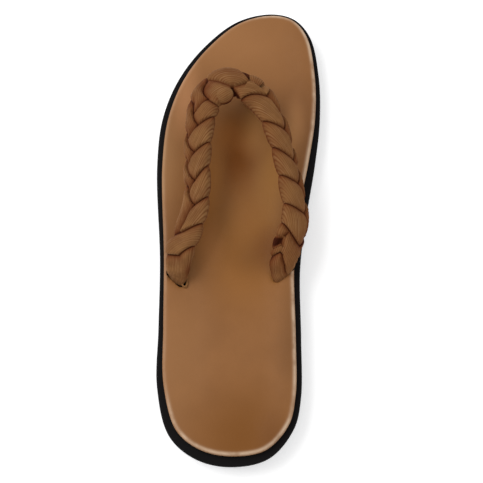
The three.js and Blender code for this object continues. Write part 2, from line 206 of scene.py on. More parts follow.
# painted shade on the plait's underside
BACK_DARK = 0.4
RING_STEP = 0.39
RIB = 0.2  # depth of the grooves between ribs
RIB_PITCH = 0.95
RIB_SHARPNESS = 1.5
RIB_POINTS = 6  # points to a rib on the tapes and the ball
RIB_SLANT, RIB_CURL, OUTER_SLANT, END_SLANT = 0.3, 0.006, 0.45, 1.25  # how ribs turn across a leaf
END_STRETCH = 1.6  # keeps the pitch of the most slanted ones
UNEVEN, UNEVEN_PITCH, UNEVEN_SHIFT = 0.14, 2.1, 1.7  # how the grooves' depth varies, from leaf to leaf
# Steps in the streaks' pattern from leaf to leaf, so that no two are alike
INNER_STEP, INNER_START, LEG_STEPS, OUTER_STEP = 40, 17, 20, 60

# Where the plait is painted darker, most of it painted shade in creases, hollows and along inner edges: run,
# distance round the section, reach along and round, strength
STRAP_SHADES = (
    (2.4, 9.5, 2.2, 3.4, 1),  # painted shade in the wedge at the end of the knot's arch
    (3.8, 6.2, 1.9, 2.4, 1),
    (5, 3.8, 1.4, 1.6, 0.9),
    (-13.8, 1.9, 3.2, 2.6, 0.35),  # beside the ball
    (-17.5, -10, 2, 5, 0.5),  # painted shade under the ball
    (-114, -8, 4, 3, 0.7),  # painted shade at the inner edge of the outer leg's end
    (48, -10, 34, 4, 0.4),  # painted shade along the inner edge of the inner leg
    (106, 0, 13, 14, 0.3),  # inner leg's end
    (108, -9, 9, 2.4, 0.6),  # painted shade at the inner edge of that end
    (-4, 5, 9, 4.5, 0.36),  # the knot's arch
    (-30, 0, 7, 8, 0.2),  # first leaf of the outer leg
)
SEAM = 0.4  # half the width over which the surface goes from a leaf to the one beside it

# Middle line of the toe post: x, y, rise over the footbed, then over the strap: run, angle from the
# strap's outer edge round to its inner one, lift
POST_FOOT = np.array([
    (5.3, 72, -5.5), (5.4, 72.4, 1), (6.4, 74.6, 7), (7.8, 77, 12.5),
])
POST_TOP = (
    (6.9, 8, 0.9), (7.4, 34, 0.2), (7.8, 54, -0.8), (8.2, 72, -2.4), (8.5, 90, -5),
)
POST_WIDTH = 9
POST_THICKNESS = 2.8
POST_FLATNESS = 2.6
POST_TURNED = 1.3  # how soon its width has turned from the hole's to along the strap
# Along it: share of its length where it narrows or is painted darker, over what share, and by how much; the
# painted shade deepens towards its top, under the strap
POST_NARROWS = ((0.55, 0.2, 0.1), (0.72, 0.28, 0.5))
POST_DARKENS = ((0.3, 0.2, 0.15), (0.72, 0.2, 0.4))
POST_RIB = 0.24
POST_PITCH = 1.3
POST_STEPS = 90
SWEEP_RUN = 0.5  # run from section to section of a swept tape, for the streaks

# The loop beside the tip of the outer leg: its middle, half its width and length, turn, and its cord
LOOP_PLACE = (-21.7, -37)
LOOP_SIZE = (1.4, 2.6)
LOOP_TURN = 12
LOOP_RISE, LOOP_SUNK = 1.3, 1.7  # its top over its ends, and these below the footbed
LOOP_CORD = 1.4
LOOP_OPEN = 0.3  # radians from its far point to each of its ends
LOOP_STEPS = 48

# Openings in the footbed: x, y, length, width, turn
OUTER_SLOT = (-26.4, -34.7, 12.4, 5.2, -39)
INNER_SLOT = (30.1, -27.7, 13.2, 3.8, 42)
POST_HOLE = (5.3, 72, 9, 4.2, -8)
DIPS = ((OUTER_SLOT, 0.9, 1.3), (INNER_SLOT, 0.9, 1.3), (POST_HOLE, 1.1, 1.8))  # depth beside it, reach
CUT_LOW, CUT_HIGH = 5, 40
HOLE_FLOOR = 0.6  # thickness of the midsole left under the toe hole

# Where the leather is made darker or lighter in colour: its tone, painted shade of the strap, and painted
# light over the strap's shade: x, y, reach in x and y, strength, colour
LEATHER_SPOTS = (
    (-8, 104, 54, 50, 0.7, "#a27249"),  # toe
    (0, 93, 22, 18, 0.3, "#8a5c30"),  # under the long toes
    (40, 66, 24, 56, 0.35, "#6b4322"),  # beside the big toe
    (-40, 30, 16, 52, 0.7, "#9b714a"),  # outer rim
    (-22, -76, 26, 62, 0.36, "#a97b54"),  # outer side of the heel
    (36, -58, 11, 52, 0.5, "#6f4a2a"),  # inner side of the heel
    (8, -12, 32, 56, 0.8, "#905c20"),  # under the arch of the foot
    (-11, -14, 12, 22, 0.5, "#b57a48"),  # outer side of the arch
    (13, -19, 18, 20, 0.65, "#74491f"),  # inner side of the arch
    (0, 37, 17, 37, 1, "#7c4402"),  # ball of the foot, painted shade of the strap
    (-14, 14, 13, 40, 0.6, "#84501a"),  # outer side of the ball
    (20, 26, 14, 46, 0.8, "#a87640"),  # inner side of the ball, painted light over the strap's shade
    (7, 4, 19, 32, 0.5, "#9e6b3a"),  # behind the ball
    (-11, 26, 9, 36, 0.4, "#a8713a"),  # beside the outer leg
    (8, 56, 12, 24, 0.62, "#c48c55"),  # painted light over the inner leg's shade
    (30, 56, 9, 26, 0.7, "#b98556"),  # beyond the inner leg, painted light over its shadow
    (-31, 70, 12, 32, 0.6, "#c08a62"),  # beyond the outer leg
    (-4, 52, 16, 18, 0.5, "#a86830"),  # under the toes
    (21, -13, 12, 18, 0.6, "#7c4a20"),  # by the inner slot, painted shadow of the strap's end
    (15, -116, 36, 42, 0.85, "#764710"),  # back of the heel
    (32, -114, 14, 18, 0.45, "#6a3f1c"),  # inner side of the heel's back
)
LEATHER_TINT = (0.96, 0.93, 0.83, 1)  # over the whole pad, before the painted highlight on its rim

# The setting
FLOOR_DROP = -0.15  # keeps the floor clear of the tread
FLOOR_HALF = 1500
FLOOR_GLOW = 0.32
CAMERA_SENSOR, CAMERA_LENS = 36, 74.534
CAMERA_RIGHT = (0.99673, 0.08076, 0)
CAMERA_UP = (-0.07636, 0.94243, 0.32557)
CAMERA_PLACE = (20.5, -185.5, 521.4)
SKY = 0.66
LAMPS = (  # name, place and size in metres, watts
    ("key", (-0.75, 0.2, 0.85), 0.9, 8),
    ("fill", (0.7, -0.4, 0.8), 0.9, 1.5),
)


# ---- curves and heights

def smooth(t):
    t = np.clip(t, 0, 1)
    return t * t * (3 - 2 * t)


def unit(vectors):
    return vectors / np.linalg.norm(vectors, axis=-1, keepdims=True)


def normals(outline):
    """Outward directions of a closed outline that runs counter-clockwise."""
    along = np.roll(outline, -1, axis=0) - np.roll(outline, 1, axis=0)
    return unit(np.stack([along[:, 1], -along[:, 0]], axis=1))


def follow(place, line, column=1):
    """A column of a table or line at places in its first column."""
    return np.interp(place, line[:, 0], line[:, column])


def oval(angle, flatness=2):
    """Places round an oval of half width and half height 1. Flatness 2 is a circle."""
    circle = np.stack([np.cos(angle), np.sin(angle)], axis=-1)
    return np.sign(circle) * np.abs(circle) ** (2 / flatness)


def turned(points, degrees):
    """Places in plan, turned about the origin."""
    x, y = points[..., 0], points[..., 1]
    cos, sin = np.cos(np.radians(degrees)), np.sin(np.radians(degrees))
    return np.stack([x * cos - y * sin, x * sin + y * cos], axis=-1)


def catmull(rows, closed, per_row):
    """Points of the centripetal curve through the rows, per_row to each stretch."""
    if closed:
        before, after = rows[-1:], rows[:2]
    else:
        before, after = 2 * rows[:1] - rows[1:2], 2 * rows[-1:] - rows[-2:-1]
    points = []
    rows = np.concatenate([before, rows, after])
    t = (np.arange(per_row) / per_row)[:, None]
    for a, b, c, d in zip(rows, rows[1:], rows[2:], rows[3:]):
        first, step, last = (np.sqrt(np.linalg.norm(q - p)) for p, q in ((a, b), (b, c), (c, d)))
        leave = step * ((b - a) / first - (c - a) / (first + step) + (c - b) / step)
        arrive = step * ((c - b) / step - (d - b) / (step + last) + (d - c) / last)
        points.append(b + leave * t + (3 * (c - b) - 2 * leave - arrive) * t**2
                      + (2 * (b - c) + leave + arrive) * t**3)
    if not closed:
        points.append(rows[-2:-1])
    return np.concatenate(points)


def run_along(points):
    """How far along a polyline each of its points is."""
    return np.concatenate([[0], np.cumsum(np.linalg.norm(np.diff(points, axis=0), axis=1))])


def evenly(points, count):
    """The polyline resampled at count + 1 even places."""
    run = run_along(points)
    wanted = np.linspace(0, run[-1], count + 1)
    return np.stack([np.interp(wanted, run, column) for column in points.T], axis=1)


def share_of(y, start, stop):
    return np.clip((y - start) / (stop - start), 0, 1)


def underside(y):
    arch = ARCH_RISE * np.sin(np.pi * share_of(y, ARCH_START, ARCH_END)) ** 2
    spring = TOE_SPRING * share_of(y, SPRING_START, TOE_FRONT)**2
    return arch + spring + HEEL_ROLL * share_of(y, ROLL_START, HEEL_BACK)**2


def outsole_top(y):
    forward = smooth(share_of(y, ARCH_START, SPRING_START))
    spring = TOE_SPRING * share_of(y, SPRING_START, TOE_FRONT)**2
    return OUTSOLE_AT_HEEL + (OUTSOLE_AT_BALL - OUTSOLE_AT_HEEL) * forward + spring


def midsole_top(y):
    return outsole_top(y) + GAP + MIDSOLE


def footbed_top(y):
    return midsole_top(y) + GAP + FOOTBED


# ---- meshes

def new_object(name, data):
    made = bpy.data.objects.new(name, data)
    bpy.context.collection.objects.link(made)
    return made


def set_floats(mesh, **floats):
    """Named values for a mesh's points."""
    for name, values in floats.items():
        attribute = mesh.attributes.new(name, "FLOAT", "POINT")
        attribute.data.foreach_set("value", np.asarray(values, dtype=np.float32).ravel())


def new_mesh(name, points, faces, material, **floats):
    """A smooth-shaded object from points in millimetres, with named float attributes."""
    mesh = bpy.data.meshes.new(name)
    mesh.from_pydata((np.asarray(points) * MM).tolist(), [], faces, shade_flat=False)
    mesh.update()
    set_floats(mesh, **floats)
    mesh.materials.append(material)
    return new_object(name, mesh)


def walls(rings, sides):
    """Quads between rings of points that follow each other."""
    at = np.arange(rings * sides).reshape(rings, sides)
    ahead = np.roll(at, -1, axis=1)
    return np.stack([at[:-1], ahead[:-1], ahead[1:], at[1:]], axis=-1).reshape(-1, 4).tolist()


def tube(name, points, material, **floats):
    """A closed tube through rings of points. Its floats may be given once for a ring or a side."""
    rings, sides, _ = points.shape
    floats = {key: np.broadcast_to(values, (rings, sides)) for key, values in floats.items()}
    ends = [list(range(sides))[::-1], list(range((rings - 1) * sides, rings * sides))]
    return new_mesh(name, points.reshape(-1, 3), walls(rings, sides) + ends, material, **floats)


# ---- the sole

def sole_edge():
    """Points round the sole's plan with their ledge: up the inner side, then down the outer side."""
    closed = catmull(PLAN, True, PLAN_STEPS)
    toe = PLAN[:, 1].argmax() * PLAN_STEPS
    inner = evenly(closed[:toe + 1], SIDE_STEPS)
    outer = evenly(np.concatenate([closed[toe:], closed[:1]]), SIDE_STEPS)
    return np.concatenate([inner, outer[1:-1]])


EDGE = sole_edge()
INWARDS = -normals(EDGE[:, :2])
# Its points at each station between heel and toe
INNER_SIDE = np.arange(1, SIDE_STEPS)
OUTER_SIDE = len(EDGE) - INNER_SIDE


def close_face(points, faces, start, grid, up):
    """Adds a face's inner points, and its faces between the two sides of the ring that begins at
    the point start."""
    first = sum(len(block) for block in points)
    inside = first + np.arange(grid[..., 0].size).reshape(grid.shape[:2])
    points.append(grid.reshape(-1, 3))
    strips = np.column_stack([start + OUTER_SIDE, inside, start + INNER_SIDE]).T.tolist()
    for left, right in zip(strips, strips[1:]):
        strip = [(start, right[0], left[0]), (start + SIDE_STEPS, left[-1], right[-1])]
        strip += zip(left, right, right[1:], left[1:])
        faces += strip if up else [corners[::-1] for corners in strip]


def layer(name, profile, low, high, material, ledge=0, lower=None, raise_top=None):
    """A layer of the sole between two heights, with the ledge added to its profile's insets. lower
    and raise_top move the inner points of its two faces up or down: functions of x, y and the
    distance from the face's edge."""
    points = []
    for inset, share, lift in profile:
        place = EDGE[:, :2] + INWARDS * np.reshape(inset + ledge, (-1, 1))
        y = place[:, 1]
        points.append(np.column_stack([place, low(y) * (1 - share) + high(y) * share + lift]))
    faces = walls(len(profile), len(EDGE))
    share = np.linspace(0, 1, ACROSS + 1)[None, 1:-1, None]
    for index, change in ((0, lower), (len(profile) - 1, raise_top)):
        ring = points[index]
        inner, outer = ring[INNER_SIDE, None], ring[OUTER_SIDE, None]
        grid = outer + (inner - outer) * share
        if change:
            grid[..., 2] += change(grid[..., 0], grid[..., 1], edge_distance(grid, ring))
        close_face(points, faces, index * len(EDGE), grid, index > 0)
    return new_mesh(name, np.concatenate(points), faces, material)


def edge_distance(grid, edge_ring):
    """Distance in plan from each of a face's points to its edge."""
    rows = [np.linalg.norm(row[:, None, :2] - edge_ring[None, :, :2], axis=2).min(axis=1) for row in grid]
    return np.array(rows)


def slot_distance(x, y, slot):
    """Distance in plan from the outline of a slot with round ends, negative inside it."""
    middle_x, middle_y, length, width, turn = slot
    place = turned(np.stack([x - middle_x, y - middle_y], axis=-1), -turn)
    beyond = np.maximum(np.abs(place[..., 0]) - (length - width) / 2, 0)
    return np.hypot(beyond, place[..., 1]) - width / 2


def slot_cutter(slot, low, material):
    """An upright pin in a slot's outline, to cut with."""
    middle_x, middle_y, length, width, turn = slot
    arc = np.linspace(-np.pi / 2, np.pi / 2, 13)
    right = oval(arc) * width / 2 + ((length - width) / 2, 0)
    outline = turned(np.concatenate([right, -right]), turn) + (middle_x, middle_y)
    rings = [np.column_stack([outline, np.full(len(outline), z)]) for z in (low, CUT_HIGH)]
    return tube("cutter", np.array(rings), material)


def cut(piece, slots, low):
    """Cuts upright slots into a piece, down to a height. It is split into triangles first: a bent
    face of four corners would leave a doubled sliver in a slot's wall."""
    piece.modifiers.new("triangles", "TRIANGULATE")
    apply_modifiers(piece)
    for slot in slots:
        boolean = piece.modifiers.new("slot", "BOOLEAN")
        boolean.operation = "DIFFERENCE"
        boolean.solver = "EXACT"
        boolean.object = cutter = slot_cutter(slot, low, piece.data.materials[0])
        apply_modifiers(piece)
        bpy.data.objects.remove(cutter)


def apply_modifiers(piece):
    graph = bpy.context.evaluated_depsgraph_get()
    done = bpy.data.meshes.new_from_object(piece.evaluated_get(graph))
    piece.modifiers.clear()
    piece.data = done


# ---- materials

def linear(code):
    """A hex colour as linear RGBA."""
    parts = [int(code[i:i + 2], 16) / 255 for i in (1, 3, 5)]
    return tuple(c / 12.92 if c <= 0.04045 else ((c + 0.055) / 1.055) ** 2.4 for c in parts) + (1,)


class Nodes:
    """A material's node tree, with short ways to add to it. A colour may be a hex code."""

    def __init__(self, name, roughness, specular):
        self.material = bpy.data.materials.new(name)
        self.material.use_nodes = True
        self.tree = self.material.node_tree
        self.shader = self.tree.nodes["Principled BSDF"]
        self.set("Roughness", roughness)
        self.set("Specular IOR Level", specular)
        self.place = self.add("TexCoord").outputs["Object"]

    def add(self, kind, inputs=None, **settings):
        """A new node with its settings made first, because they choose its inputs."""
        node = self.tree.nodes.new("ShaderNode" + kind)
        for name, value in settings.items():
            setattr(node, name, value)
        for name, value in (inputs or {}).items():
            self.feed(node.inputs[name], value)
        return node

    def feed(self, socket, value):
        if isinstance(value, bpy.types.NodeSocket):
            self.tree.links.new(value, socket)
        else:
            socket.default_value = linear(value) if isinstance(value, str) else value

    def set(self, name, value):
        self.feed(self.shader.inputs[name], value)

    def math(self, operation, a, b):
        return self.add("Math", {0: a, 1: b}, operation=operation).outputs[0]

    def times(self, a, b):
        return self.math("MULTIPLY", a, b)

    def mix(self, share, a, b, blend="MIX"):
        inputs = {"Factor": share, "A": a, "B": b}
        return self.add("Mix", inputs, data_type="RGBA", blend_type=blend).outputs["Result"]

    def noise(self, scale, detail, roughness=0.55, place=None):
        inputs = {"Scale": scale, "Detail": detail, "Roughness": roughness, "Vector": place or self.place}
        return self.add("TexNoise", inputs).outputs["Fac"]

    def attribute(self, name):
        return self.add("Attribute", attribute_name=name).outputs["Fac"]

    def ramp(self, value, low, high, start=0, end=1):
        """value from low..high taken smoothly to start..end."""
        inputs = {"Value": value, "From Min": low, "From Max": high, "To Min": start, "To Max": end}
        return self.add("MapRange", inputs, interpolation_type="SMOOTHSTEP").outputs["Result"]

    def spot(self, x, y, reach_x, reach_y):
        """1 at a place on the sole, in millimetres, fading to 0 at the edge of an oval round it."""
        inputs = {"Vector": self.place, "Location": (x * MM, y * MM, 0),
                  "Scale": (reach_x * MM, reach_y * MM, 1)}
        oval = self.add("Mapping", inputs, vector_type="TEXTURE").outputs[0]
        flat = self.add("VectorMath", {0: oval, 1: (1, 1, 0)}, operation="MULTIPLY").outputs[0]
        length = self.add("VectorMath", {0: flat}, operation="LENGTH").outputs["Value"]
        return self.ramp(length, 0, 1, 1, 0)

    def bump(self, height, strength, distance):
        """Adds a bump, in metres, over the ones added before."""
        node = self.add("Bump", {"Strength": strength, "Distance": distance, "Height": height})
        normal = self.shader.inputs["Normal"]
        if normal.is_linked:
            self.feed(node.inputs["Normal"], normal.links[0].from_socket)
        self.feed(normal, node.outputs[0])


def leather():
    nodes = Nodes("tan_leather", roughness=0.5, specular=0.2)
    color = nodes.mix(nodes.ramp(nodes.noise(22, 4), 0.35, 0.68), "#845832", "#8e6038")
    for x, y, reach_x, reach_y, strength, code in LEATHER_SPOTS:
        color = nodes.mix(nodes.times(nodes.spot(x, y, reach_x, reach_y), strength), color, code)
    color = nodes.mix(1, color, LEATHER_TINT, "MULTIPLY")
    patches = nodes.ramp(nodes.noise(90, 3), 0.3, 0.6, 0.4, 1)
    # painted highlight along the pad's rim, broken into patches
    painted_highlight = nodes.times(nodes.attribute("rim"), patches)
    nodes.set("Base Color", nodes.mix(nodes.times(painted_highlight, 0.85), color, "#cdb195"))
    pores = nodes.add("TexVoronoi", {"Scale": 1900, "Vector": nodes.place}).outputs["Distance"]
    nodes.bump(pores, 0.25, 0.0001)
    nodes.bump(nodes.noise(700, 4, 0.65), 0.3, 0.00015)
    nodes.bump(nodes.noise(60, 3), 0.25, 0.0005)
    nodes.set("Roughness", nodes.ramp(nodes.noise(260, 3), 0.3, 0.7, 0.44, 0.58))
    return nodes.material


def midsole_foam():
    nodes = Nodes("black_foam", roughness=0.7, specular=0.12)
    grain = nodes.noise(900, 3)
    nodes.set("Base Color", nodes.mix(grain, "#060404", "#0b0809"))
    nodes.bump(grain, 0.25, 0.0002)
    return nodes.material


def outsole_rubber():
    nodes = Nodes("slate_rubber", roughness=0.62, specular=0.4)
    grain = nodes.noise(1100, 3)
    height = nodes.add("SeparateXYZ", {0: nodes.place}).outputs["Z"]
    # lighter along its lowest few millimetres
    near_bottom = nodes.ramp(height, 0.0005, 0.0035, 1, 0)
    color = nodes.mix(grain, "#3a3a41", "#45454c")
    nodes.set("Base Color", nodes.mix(nodes.times(near_bottom, 0.7), color, "#5a5a62"))
    nodes.bump(grain, 0.3, 0.0002)
    return nodes.material


def ribbed_tape():
    """The strap's tape. Its streaks are narrow across the ribs and long along them. Shade is painted into
    its rib grooves, its creases and its hollows.
    """
    nodes = Nodes("tan_tape", roughness=0.8, specular=0.1)
    groove = nodes.attribute("groove")
    gap = nodes.attribute("gap")
    run = nodes.attribute("run")
    across = nodes.times(nodes.attribute("thread"), 0.9)
    grain = nodes.add("CombineXYZ", {"X": across, "Y": nodes.times(run, 0.06)})
    streaks = nodes.noise(1, 3, 0.6, grain.outputs[0])
    threads = nodes.noise(2600, 2)
    color = nodes.mix(nodes.ramp(nodes.noise(120, 4), 0.3, 0.7), "#6b4526", "#805832")
    color = nodes.mix(nodes.times(threads, 0.35), color, "#926e44")
    color = nodes.mix(nodes.ramp(streaks, 0.3, 0.54, 0.2, 0), color, "#4c3018")
    color = nodes.mix(nodes.ramp(streaks, 0.48, 0.75, 0, 0.34), color, "#a27f58")
    broken = nodes.ramp(streaks, 0.35, 0.62, 0.3, 1)
    # painted shade in the grooves between the ribs
    color = nodes.mix(nodes.times(nodes.ramp(groove, 0.15, 0.9, 0, 0.8), broken), color, "#5e2f12")
    # painted light: the tape a little lighter from the knot along the inner leg and the toe post
    color = nodes.mix(nodes.ramp(run, -25, 10, 0, 0.03), color, "#b87a3e")
    # painted shade where a leaf comes up from under another, in the knot's gap and hollows, and underneath
    color = nodes.mix(nodes.times(gap, 0.9), color, "#5a2206")
    color = nodes.mix(nodes.ramp(gap, 0.7, 1, 0, 0.85), color, "#2c0b02")
    nodes.set("Base Color", color)
    unlit = nodes.math("MAXIMUM", gap, nodes.times(groove, 0.6))
    nodes.set("Sheen Weight", nodes.ramp(unlit, 0, 0.7, 0.25, 0))
    nodes.set("Sheen Roughness", 0.5)
    nodes.set("Sheen Tint", "#c9a27c")
    nodes.bump(threads, 0.5, 0.00025)
    return nodes.material


# ---- the strap

def strap_stations():
    """Runs from the strap's middle in even steps, and for each a row with the strap's place, its
    directions ahead, outwards and up out of its face, its reach and its depth."""
    rows = ROUTE.copy()
    rows[:, 2] += footbed_top(rows[:, 1])
    path = catmull(rows[:, :3], False, ROUTE_STEPS)
    # roll, reach and depth ease from row to row
    row = np.arange(len(path)) / ROUTE_STEPS
    low = np.minimum(row.astype(int), len(ROUTE) - 2)
    share = smooth(row - low)[:, None]
    values = ROUTE[low, 3:] * (1 - share) + ROUTE[low + 1, 3:] * share
    run = run_along(path)
    wanted = np.linspace(0, run[-1], STATIONS + 1)
    columns = [np.interp(wanted, run, column) for column in (*path.T, *values.T)]
    place = np.stack(columns[:3], axis=1)
    roll, reach, depth = columns[3:]
    along = unit(np.gradient(place, axis=0))
    wide = unit(np.column_stack([-along[:, 1], along[:, 0], np.zeros(STATIONS + 1)]))
    face = unit(np.cross(along, wide))
    cos, sin = np.cos(np.radians(roll))[:, None], np.sin(np.radians(roll))[:, None]
    table = np.column_stack([place, along, wide * cos - face * sin, face * cos + wide * sin, reach, depth])
    return wanted - run[ROUTE[:, 2].argmax() * ROUTE_STEPS] - MIDDLE_SHIFT, table


STATION_RUNS, STATION_ROWS = strap_stations()


def strap_at(run):
    """The strap's place, its three directions, its reach and its depth at one run or at many."""
    values = np.stack([np.interp(run, STATION_RUNS, column) for column in STATION_ROWS.T], axis=-1)
    return *(values[..., k:k + 3] for k in (0, 3, 6, 9)), values[..., 12], values[..., 13]


def ribbed_section(width, thickness, flatness=2):
    """Points round a tape's section with ribs, and how deep each lies in a groove, 0 to 1."""
    count = 2 * round(width / POST_PITCH) * RIB_POINTS
    half_step = np.arange(count + 1) % count + 0.5
    outline = oval(half_step / count * 2 * np.pi, flatness) * (width / 2, thickness / 2)
    # even steps along the outline, so that the ribs are even
    outline = evenly(outline, count)[:-1]
    groove = 1 - np.abs(np.sin(np.pi * half_step[:-1] / RIB_POINTS))
    return outline - normals(outline) * (groove * POST_RIB)[:, None], groove


def sweep(name, middle, across, section, groove, material, width, dark):
    """A tape along a middle line. across is the direction of its section's width at each place."""
    out = np.cross(unit(np.gradient(middle, axis=0)), across)
    points = (middle[:, None] + across[:, None] * section[None, :, :1] * width[:, None, None]
              + out[:, None] * section[None, :, 1:])
    thread = np.arange(len(section)) * POST_PITCH / RIB_POINTS
    run = (np.arange(len(middle)) * SWEEP_RUN)[:, None]
    return tube(name, points, material, groove=groove, gap=dark[:, None], thread=thread, run=run)


def strap_section():
    """The strap's section for half width and half thickness 1, even along its outline: first over
    its face from the outer edge to the inner one, then back underneath. Also how far round they are
    from the face's middle, in millimetres, towards the inner side negative."""
    shape = np.array([HALF_FACE, FACE_DEPTH])
    arc = oval(np.linspace(0, np.pi, 2001), STRAP_FLATNESS) * shape
    face, back = (evenly(arc, steps)[:-1] / shape for steps in (FRONT_STEPS, BACK_STEPS))
    half = run_along(arc)[-1] / 2
    around = np.concatenate([np.linspace(half, -half, FRONT_STEPS + 1)[:-1],
                             np.linspace(-half, -3 * half, BACK_STEPS + 1)[:-1]])
    return np.concatenate([face, -back]), around


def end_line(inner, tip_x, tip, notch_x, notch):
    """The line across the face on which a leaf ends, as points of x and run."""
    if notch < tip:
        turn = (notch_x, tip + BELLY * (notch - tip))
    else:
        turn = ((tip_x + notch_x) / 2, (tip + notch) / 2)
    first, turn, last = np.array([(tip_x, tip), turn, (notch_x, notch)])
    t = np.linspace(0, 1, 9)[:, None]
    curve = (1 - t)**2 * first + 2 * t * (1 - t) * turn + t**2 * last
    return np.array([(-HALF_FACE, inner), *curve, (HALF_FACE, notch - (HALF_FACE - notch_x))])


def away(x, run, line, low=None, high=None):
    """Distance from each place on the face to a line, or to its stretch between two x."""
    if low is not None:
        inside = line[(line[:, 0] > low) & (line[:, 0] < high), 0]
        places = np.concatenate([[low], inside, [high]])
        line = np.stack([places, follow(places, line)], axis=1)
    best = np.full(run.shape, FAR)
    for start, stop in zip(line[:-1], line[1:]):
        step = stop - start
        ahead, beyond = x - start[0], run - start[1]
        share = np.clip((ahead * step[0] + beyond * step[1]) / max(step @ step, 1e-9), 0, 1)
        best = np.minimum(best, np.hypot(ahead - share * step[0], beyond - share * step[1]))
    return best


def fold(distance, reach=LEAF_ROUND):
    """Drop of a leaf's rounded edge at a distance from it."""
    inside = reach - np.clip(distance, 0, reach)
    return reach - np.sqrt(reach**2 - inside**2)


def relief(under, over, reach=LEAF_ROUND):
    """Height of a leaf at a distance from the leaves over it and from its own edge."""
    rise = 1 - (1 - np.clip(under / LEAF_RISE, 0, 1)) ** 2
    return LEAF_STEP * rise - fold(over, reach)


def joined(side, inner, outer):
    """Values of two leaves side by side, eased over the seam between them."""
    share = smooth((side + SEAM) / (2 * SEAM))
    return inner * (1 - share) + outer * share


def knot_leaf(way, x, run, stop, row):
    """Leaf next to the middle: the arch over its outer side, and beside it the ball or a leaf."""
    place = way * run
    beside = away(x, run, KNOT_LINE[:, ::-1] * (1, way))
    side = x - follow(place, KNOT_LINE)
    from_gap = away(x, run, GAP_LINE * (1, way))
    over = away(x, run, stop, -HALF_FACE, row[1])
    if way < 0:
        to_stop = away(x, run, stop, row[1], HALF_FACE)
        under = np.minimum(np.minimum(from_gap, beside), to_stop)
        arch = relief(FAR, beside, ARCH_ROUND)
        arch_dark = np.zeros_like(run)
    else:
        free = smooth((place - ARCH_FREE) / ARCH_GAP)
        under = np.minimum(from_gap, beside + FAR * free)
        over = np.minimum(over, np.where(free > 0.5, beside, FAR))
        past = place - KNOT_END[1] - (KNOT_END[0] - x) * KNOT_END[2]
        rise = smooth((place - POST_BED) / POST_BED_EASE)
        bed = (LEAF_STEP + POST_BED_DEPTH) * rise - POST_BED_DEPTH
        arch = np.where(past < 0, relief(FAR, np.minimum(beside, -past), ARCH_ROUND), bed)
        arch_dark = np.where(past < 0, 0, 1 - smooth((past - ARCH_GAP) / ARCH_GAP))
    height = joined(side, relief(under, over), arch)
    # painted shade where a leaf comes up, and behind the arch
    dark = joined(side, np.exp(-under / GAP_REACH), arch_dark)
    rib = np.where(side > 0, x, (RIB_SLANT * run if way > 0 else 0) - x)
    return height, dark, rib, side


def plain_leaf(number, way, x, run, share, start, stop, rows):
    """An inner leaf and the outer one beside it. The inner one lies on the outer one and over the
    next inner one, and its tip is under the next outer one."""
    before, row = rows
    whole = row[3] >= HALF_FACE
    side_end = row[1] if whole else row[3]
    bend = FIRST_SEAM_BEND if number == 1 and way > 0 else SEAM_BEND
    shares = np.linspace(0, 1, 12)
    seam_x = before[1] + (side_end - before[1]) * shares**bend
    seam_run = (1 - shares) * follow(seam_x, start) + shares * follow(seam_x, stop)
    beside = away(x, run, np.stack([seam_x, seam_run], axis=1))
    side = x - (before[1] + (side_end - before[1]) * share**bend)
    to_outer_end = away(x, run, stop, side_end, HALF_FACE)
    inner_under = away(x, run, start, -HALF_FACE, before[1])
    inner_over = np.minimum(away(x, run, stop, -HALF_FACE, row[1]), beside)
    outer_under = np.minimum(beside, away(x, run, start, before[3], HALF_FACE))
    outer_over = away(x, run, start, before[1], before[3])
    if whole:
        outer_under = np.minimum(outer_under, to_outer_end)
    else:
        inner_under = np.minimum(inner_under, away(x, run, stop, row[1], row[3]))
        outer_over = np.minimum(outer_over, to_outer_end)
    ahead = run - before[2]
    rib = np.where(side < 0, -x + RIB_SLANT * ahead + RIB_CURL * ahead**2, x + OUTER_SLANT * ahead)
    height = joined(side, relief(inner_under, inner_over), relief(outer_under, outer_over))
    inner_dark, outer_dark = np.exp(-inner_under / GAP_REACH), np.exp(-outer_under / OUTER_GAP_REACH)
    return height, joined(side, inner_dark, outer_dark), rib, side


def end_leaf(number, way, x, run, start, stop, rows):
    """A leaf near the strap's end: over the whole width on the outer leg, on the inner leg beside one
    long outer leaf that lies on top of the inner ones."""
    last = number == len(rows)
    from_start = away(x, run, start)
    to_stop = np.full(run.shape, FAR) if last else away(x, run, stop)
    if way < 0:
        rib = -x if last else (END_SLANT * run - x) / END_STRETCH
        return relief(from_start, to_stop), np.exp(-from_start / GAP_REACH), rib, x - FAR
    side = x - follow(run, TAIL_LINE)
    beside = away(x, run, TAIL_LINE[:, ::-1])
    start_of_long = away(x, run, end_line(*rows[LAST_PAIR]))
    if number == HOLLOW_LEAF:
        inside = smooth(np.minimum(np.minimum(from_start, to_stop), beside) / HOLLOW_EASE)
        inner = LEAF_STEP / 2 - (LEAF_STEP / 2 + PIT) * inside
        dark = HOLLOW_DARK[0] + HOLLOW_DARK[1] * inside
    elif number == CROSS_LEAF:
        inner = CROSS_HEIGHT * LEAF_STEP - fold(np.minimum(from_start, to_stop))
        dark = np.zeros_like(run)
    else:
        under = np.minimum(beside, from_start)
        inner = relief(under, to_stop)
        dark = np.exp(-under / GAP_REACH)
    height = joined(side, inner, relief(start_of_long, beside))
    dark = joined(side, dark, np.exp(-start_of_long / GAP_REACH))
    return height, dark, np.where(side < 0, -x, x), side


